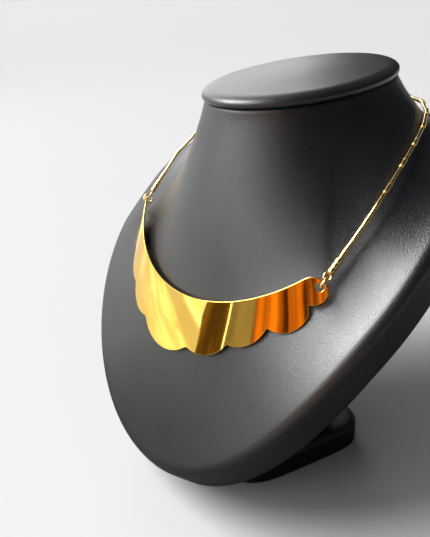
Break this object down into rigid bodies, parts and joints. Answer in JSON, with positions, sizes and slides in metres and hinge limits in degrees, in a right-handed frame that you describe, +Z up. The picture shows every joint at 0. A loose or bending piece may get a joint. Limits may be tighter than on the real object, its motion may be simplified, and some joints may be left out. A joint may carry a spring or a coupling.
{
  "type": "bib necklace on neck bust",
  "caption": "Scalloped mirror-gold bib plate on rod-and-sleeve chains, worn by a slanted black leatherette neck bust on a low foot.",
  "frame": {"origin": "on the surface that the bust stands on, under the middle of the whole", "axes": "+X to the right of someone facing the bust, -Y towards that person, the front, and +Z up"},
  "size_m": [0.1904, 0.2036, 0.2008],
  "materials": {
    "leatherette": "fine pebble grain, soft sheen",
    "plate_gold": "mirror-polished gold plating",
    "chain_gold": "polished gold plating"
  },
  "bodies": {
    "root": {"bust_body": "leatherette", "neck_cap": "leatherette", "bust_foot": "leatherette", "bib_plate": "plate_gold", "jump_ring_right": "chain_gold", "jump_ring_left": "chain_gold", "end_cap_right": "chain_gold", "end_cap_left": "chain_gold", "chain_right": "chain_gold", "chain_left": "chain_gold", "nape_cap_right": "chain_gold", "nape_cap_left": "chain_gold", "clasp": "chain_gold"}
  },
  "joints": []
}
